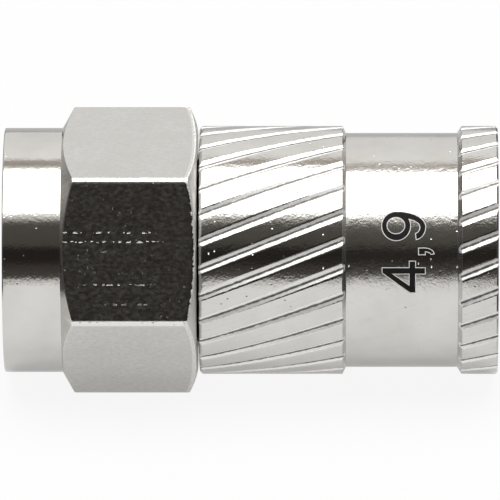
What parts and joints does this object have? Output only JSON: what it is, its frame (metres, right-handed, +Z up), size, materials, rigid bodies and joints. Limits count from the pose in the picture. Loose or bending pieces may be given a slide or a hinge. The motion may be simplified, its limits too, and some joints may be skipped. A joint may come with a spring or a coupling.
{
  "type": "compression f connector",
  "caption": "Coaxial compression connector with a free-turning hex coupling nut, an inner post and a knurled one-piece compression sleeve.",
  "frame": {"origin": "on the connector's axis at the front face of the post's flange, where the end of the mating socket seats", "axes": "+X along the axis from the nut's mouth to the cable end, +Z up with one flat of the nut straight down, and the camera side is -Y"},
  "size_m": [0.0217, 0.0126, 0.011],
  "materials": {
    "nut_plating": "bright nickel-tin plating over brass",
    "sleeve_plating": "bright nickel-tin plating over brass",
    "post_plating": "bright nickel-tin plating over brass",
    "seal_rubber": "smooth black rubber"
  },
  "bodies": {
    "connector_body": {"inner_post": "post_plating", "compression_sleeve": "sleeve_plating", "nut_seal": "seal_rubber"},
    "nut": {"coupling_nut": "nut_plating"}
  },
  "joints": [
    {"name": "nut_spin", "type": "hinge", "parent": "connector_body", "child": "nut", "pos_m": [0, 0, 0], "axis": [1, 0, 0], "continuous": true}
  ]
}
